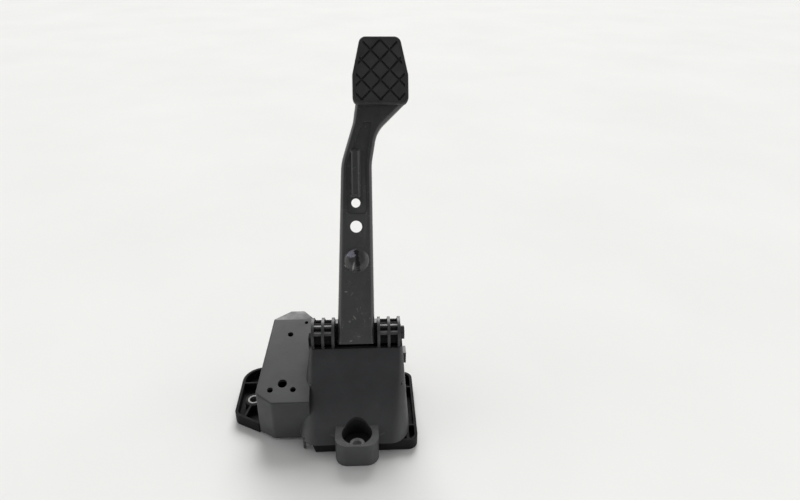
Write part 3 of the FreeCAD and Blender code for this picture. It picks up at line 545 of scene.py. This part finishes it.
# Plain pale floor
FLOOR_HALF = 9.0
FLOOR_DARK = (0.30, (0.80, 0.80, 0.79))
FLOOR_LIGHT = (0.70, (0.83, 0.83, 0.82))
FLOOR_ROUGHNESS = 0.9
FLOOR_SHINE = 0.1


def floor_material():
    """Pale matte floor with faint clouds of tone."""
    material, tree, shader = new_material("pale_floor")
    cloud = noise(tree, place_in_object(tree), scale=3.0, detail=3.0)
    fill(tree, shader, {
        "Base Color": ramp(tree, cloud, FLOOR_DARK, FLOOR_LIGHT), "Roughness": FLOOR_ROUGHNESS,
        "Specular IOR Level": FLOOR_SHINE})
    return material


def make_floor():
    """One wide square at the height of the mounting face."""
    corners = [(-FLOOR_HALF, -FLOOR_HALF, 0.0), (FLOOR_HALF, -FLOOR_HALF, 0.0),
               (FLOOR_HALF, FLOOR_HALF, 0.0), (-FLOOR_HALF, FLOOR_HALF, 0.0)]
    mesh = bpy.data.meshes.new("floor")
    mesh.from_pydata(corners, [], [(0, 1, 2, 3)])
    floor = bpy.data.objects.new("floor", mesh)
    scene.collection.objects.link(floor)
    mesh.materials.append(floor_material())


# Light: a bright wall behind the pedal, bright panels at its sides, a darker room in front of it
ROOM_TONE = (0.25, 0.255, 0.26)
WALL_TONE = (1.0, 0.995, 0.98)
PANEL_TONE = 2.2
HORIZON_TONE = (1.30, 1.30, 1.285)
WALL_SPAN = (-0.5, 0.7)
SIDE_SPAN = (0.45, 0.95)
PANEL_SPAN = (0.70, 0.92)
HORIZON_SPAN = (0.14, 0.22)
ROOM_STRENGTH = 0.66
SUN_HEIGHT = math.radians(40)
SUN_SIDE = math.radians(4)
SUN_SOFT = math.radians(38)
SUN_STRENGTH = 2.75
SUN_TONE = (1.0, 0.995, 0.985)


def make_world():
    """Room light: bright at the sides and behind the pedal, dim in front of it, and even low down."""
    world = bpy.data.worlds.new("studio")
    world.use_nodes = True
    tree = world.node_tree
    right, back, up = split(tree, add(tree, "ShaderNodeTexCoord").outputs["Generated"])
    aside = math_node(tree, "ABSOLUTE", right)
    wall = spread(tree, back, WALL_SPAN, curve="SMOOTHSTEP")
    side = spread(tree, aside, SIDE_SPAN, curve="SMOOTHSTEP")
    panel = spread(tree, aside, PANEL_SPAN, curve="SMOOTHSTEP")
    above = spread(tree, up, HORIZON_SPAN, curve="SMOOTHSTEP")
    tone = mix(tree, math_node(tree, "MAXIMUM", wall, side), ROOM_TONE, WALL_TONE)
    tone = mix(tree, panel, tone, PANEL_TONE)
    tone = mix(tree, above, HORIZON_TONE, tone)
    fill(tree, tree.nodes["Background"], {"Color": tone, "Strength": ROOM_STRENGTH})
    scene.world = world


def make_lights():
    """Soft light from behind and above, so that the front faces stay darker than the tops."""
    make_world()
    data = bpy.data.lights.new("back_light", "SUN")
    data.energy = SUN_STRENGTH
    data.angle = SUN_SOFT
    data.color = SUN_TONE
    light = bpy.data.objects.new("back_light", data)
    toward = Vector((math.sin(SUN_SIDE) * math.cos(SUN_HEIGHT),
                     math.cos(SUN_SIDE) * math.cos(SUN_HEIGHT),
                     math.sin(SUN_HEIGHT)))
    light.rotation_mode = "QUATERNION"
    light.rotation_quaternion = toward.to_track_quat("Z", "Y")
    scene.collection.objects.link(light)


# Rounding of the solids' edges: width and steps
TRAY_EDGE = (0.0006, 2)
HOUSING_EDGE = (0.0007, 2)
ARM_EDGE = (0.0009, 3)
PAD_EDGE = (0.0010, 3)
BEARING_EDGE = (0.0003, 2)
BOLT_EDGE = (0.0006, 3)
WASHER_EDGE = (0.0002, 2)
TURNED_EDGE = (0.0004, 3)
EDGE_ANGLE = math.radians(30)
FLAT_ANGLE = math.radians(0.2)
MERGE_DISTANCE = 0.00001
EVEN_WEIGHT = 80


def soften(node, width, steps):
    """Round a solid's sharp edges with geometry, and keep its large faces evenly shaded."""
    weld = node.modifiers.new("weld", "WELD")
    weld.merge_threshold = MERGE_DISTANCE
    flat = node.modifiers.new("flat", "DECIMATE")
    flat.decimate_type = "DISSOLVE"
    flat.angle_limit = FLAT_ANGLE
    bevel = node.modifiers.new("bevel", "BEVEL")
    bevel.width = width
    bevel.segments = steps
    bevel.limit_method = "ANGLE"
    bevel.angle_limit = EDGE_ANGLE
    bevel.use_clamp_overlap = True
    even = node.modifiers.new("even", "WEIGHTED_NORMAL")
    even.mode = "FACE_AREA"
    even.weight = EVEN_WEIGHT
    even.keep_sharp = False


def dress():
    """Give each solid its material and its rounded edges; what isn't named here is dull zinc."""
    # Near-black bearings: black parts made darker still, partly painted shade between the arm and the
    # bearing plates
    greased_and_shaded = moulding("greased_and_shaded_black", dark=0.005, light=0.009, dust_and_painted_light=0.006, gloss=(0.70, 0.85), shine=0.04)
    paint = arm_paint()
    rubber = pad_rubber()
    dull_zinc = zinc_steel("dull_zinc", dark=0.12, light=0.25)
    # The front sleeve's zinc is a lighter copy, painted light where the bore shades it
    lit_zinc = zinc_steel("lit_zinc", dark=0.60, light=0.88)
    dark_steel = black_steel()
    finish = {
        "base_tray": (BLACK, TRAY_EDGE),
        "bracket_housing": (GREY, HOUSING_EDGE),
        "pedal_arm": (paint, ARM_EDGE),
        "pad_rubber": (rubber, PAD_EDGE),
        "pivot_tube": (greased_and_shaded, BEARING_EDGE),
        "left_bush": (greased_and_shaded, BEARING_EDGE),
        "right_bush": (greased_and_shaded, BEARING_EDGE),
        "ball_clip": (greased_and_shaded, BEARING_EDGE),
        "front_sleeve": (lit_zinc, TURNED_EDGE),
        "pivot_bolt": (dark_steel, BOLT_EDGE),
        "right_washer": (dark_steel, WASHER_EDGE),
    }
    for name, node in frame["nodes"].items():
        material, edge = finish.get(name, (dull_zinc, TURNED_EDGE))
        node.data.materials.clear()
        node.data.materials.append(material)
        soften(node, *edge)


# Small moulded marks that stand on the bracket's housing
def add_mark(name, shape, *sizes):
    """A small grey piece on the bracket, made by a shape from its sizes."""
    mesh = bpy.data.meshes.new(name)
    maker = bmesh.new()
    shape(maker, *sizes)
    bmesh.ops.recalc_face_normals(maker, faces=maker.faces)
    maker.to_mesh(mesh)
    maker.free()
    mesh.shade_smooth()
    mesh.materials.append(GREY)
    piece = bpy.data.objects.new(name, mesh)
    scene.collection.objects.link(piece)
    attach(piece, "bracket")


# Pips on the hood's flanks, placed where the photograph shows them
PHOTO_WIDTH, PHOTO_HEIGHT = 800, 500
PHOTO_FOCAL = CAMERA_LENS / CAMERA_SENSOR * PHOTO_WIDTH
PIP_PIXELS = {"left_pip": (310.5, 385.5), "right_pip": (402.5, 383.5)}
PIP_RADIUS = 0.0016
PIP_RISE = 0.0009
PIP_PROFILE = [(1.0, -0.5), (1.0, 0.35), (0.92, 0.75), (0.72, 0.98)]
PIP_STEPS = 24


def on_housing(pixel):
    """The point of the housing seen at a pixel of the photograph, with the surface's direction there."""
    across = (pixel[0] - PHOTO_WIDTH / 2) / PHOTO_FOCAL
    up = (PHOTO_HEIGHT / 2 - pixel[1]) / PHOTO_FOCAL
    ray = scene.camera.matrix_world.to_3x3() @ Vector((across, up, -1.0))
    housing = frame["nodes"]["bracket_housing"]
    hit, point, normal, _ = housing.ray_cast(Vector(CAMERA_PLACE), ray.normalized())
    return (point, normal) if hit else None


def turned_pip(maker, point, normal):
    """A low button with a rounded rim, standing on a surface."""
    turn = normal.to_track_quat("Z", "Y").to_matrix()
    rings = []
    for out, rise in PIP_PROFILE:
        ring = []
        for step in range(PIP_STEPS):
            angle = 2 * math.pi * step / PIP_STEPS
            radius = PIP_RADIUS * out
            local = Vector((radius * math.cos(angle), radius * math.sin(angle), PIP_RISE * rise))
            ring.append(maker.verts.new(point + turn @ local))
        rings.append(ring)
    crown = maker.verts.new(point + turn @ Vector((0.0, 0.0, PIP_RISE)))
    for i in range(PIP_STEPS):
        j = (i + 1) % PIP_STEPS
        for lower, upper in zip(rings, rings[1:]):
            maker.faces.new((lower[i], lower[j], upper[j], upper[i]))
        maker.faces.new((rings[-1][i], rings[-1][j], crown))
    maker.faces.new(list(reversed(rings[0])))


def make_pips():
    """A pip at each of the two pixels, where the housing is seen there."""
    for name, pixel in PIP_PIXELS.items():
        found = on_housing(pixel)
        if found:
            add_mark(name, turned_pip, *found)


# Rounded bars below the hood's left hem and beside the left bearing: two corners and a rounding
BARS = {
    "hem_peg": ((-0.0534, 0.0066, 0.0004), (-0.0506, 0.0096, 0.0140), 0.0008),
    "bearing_tab": ((-0.0486, 0.0690, 0.0745), (-0.0446, 0.0790, 0.0890), 0.0010),
}
BAR_STEPS = 3
BAR_PROFILE = 0.5


def rounded_bar(maker, low, high, rounding):
    """A bar between two corners, with rounded edges."""
    middle = (Vector(low) + Vector(high)) / 2
    size = Vector(high) - Vector(low)
    box = Matrix.Translation(middle) @ Matrix.Diagonal((*size, 1.0))
    bmesh.ops.create_cube(maker, size=1.0, matrix=box)
    bmesh.ops.bevel(maker, geom=list(maker.edges), offset=rounding, segments=BAR_STEPS,
                    profile=BAR_PROFILE, affect="EDGES")


def make_bars():
    """The peg and the tab."""
    for name, sizes in BARS.items():
        add_mark(name, rounded_bar, *sizes)


# Collar: the swelling of the hood's front wall round the tool clearance over the front bolt
WALL_FOOT = Vector((0.0, -0.001, 0.012))
WALL_RUN = Vector((0.0, 0.062, 0.069)).normalized()
WALL_OUT = Vector((0.0, -WALL_RUN.z, WALL_RUN.y))
COLLAR_INNER = 0.0149
COLLAR_OUTER = 0.034
COLLAR_RISE = 0.0024
COLLAR_SUNK_RIM = 0.00008
COLLAR_ROOT = 0.0012
COLLAR_RINGS = 12
COLLAR_STEPS = 56
COLLAR_SWING = math.radians(80)


def on_wall(share, angle, lift):
    """A point over the leaning wall, part of the way out from the clearance and turned round it."""
    radius = COLLAR_INNER + (COLLAR_OUTER - COLLAR_INNER) * share
    x, y = radius * math.sin(angle), radius * math.cos(angle)
    z = WALL_FOOT.z + (y - WALL_FOOT.y) * WALL_RUN.z / WALL_RUN.y
    return Vector((x, y, z)) + WALL_OUT * lift


def swelling(share, angle):
    """The collar's height over the wall: full beside the clearance, just sunk at its rim and its ends."""
    ends = math.sqrt(math.cos(angle / COLLAR_SWING * math.pi / 2))
    return COLLAR_RISE * 0.5 * (1 + math.cos(math.pi * share)) * ends - COLLAR_SUNK_RIM


def collar(maker):
    """A part of a ring on the leaning wall, closed by a sheet below the wall's face."""
    top, under = [], []
    for ring in range(COLLAR_RINGS + 1):
        share = ring / COLLAR_RINGS
        angles = [COLLAR_SWING * (2 * step / COLLAR_STEPS - 1) for step in range(COLLAR_STEPS + 1)]
        top.append([maker.verts.new(on_wall(share, angle, swelling(share, angle))) for angle in angles])
        under.append([maker.verts.new(on_wall(share, angle, -COLLAR_ROOT)) for angle in angles])
    for sheet in (top, under):
        for inner, outer in zip(sheet, sheet[1:]):
            for step in range(COLLAR_STEPS):
                maker.faces.new((inner[step], inner[step + 1], outer[step + 1], outer[step]))
    for ring in (0, COLLAR_RINGS):
        upper, lower = top[ring], under[ring]
        for step in range(COLLAR_STEPS):
            maker.faces.new((upper[step], lower[step], lower[step + 1], upper[step + 1]))
    for step in (0, COLLAR_STEPS):
        for ring in range(COLLAR_RINGS):
            outer = ring + 1
            maker.faces.new((top[ring][step], top[outer][step], under[outer][step], under[ring][step]))


make_camera()
make_floor()
make_lights()
dress()
make_pips()
make_bars()
add_mark("clearance_collar", collar)
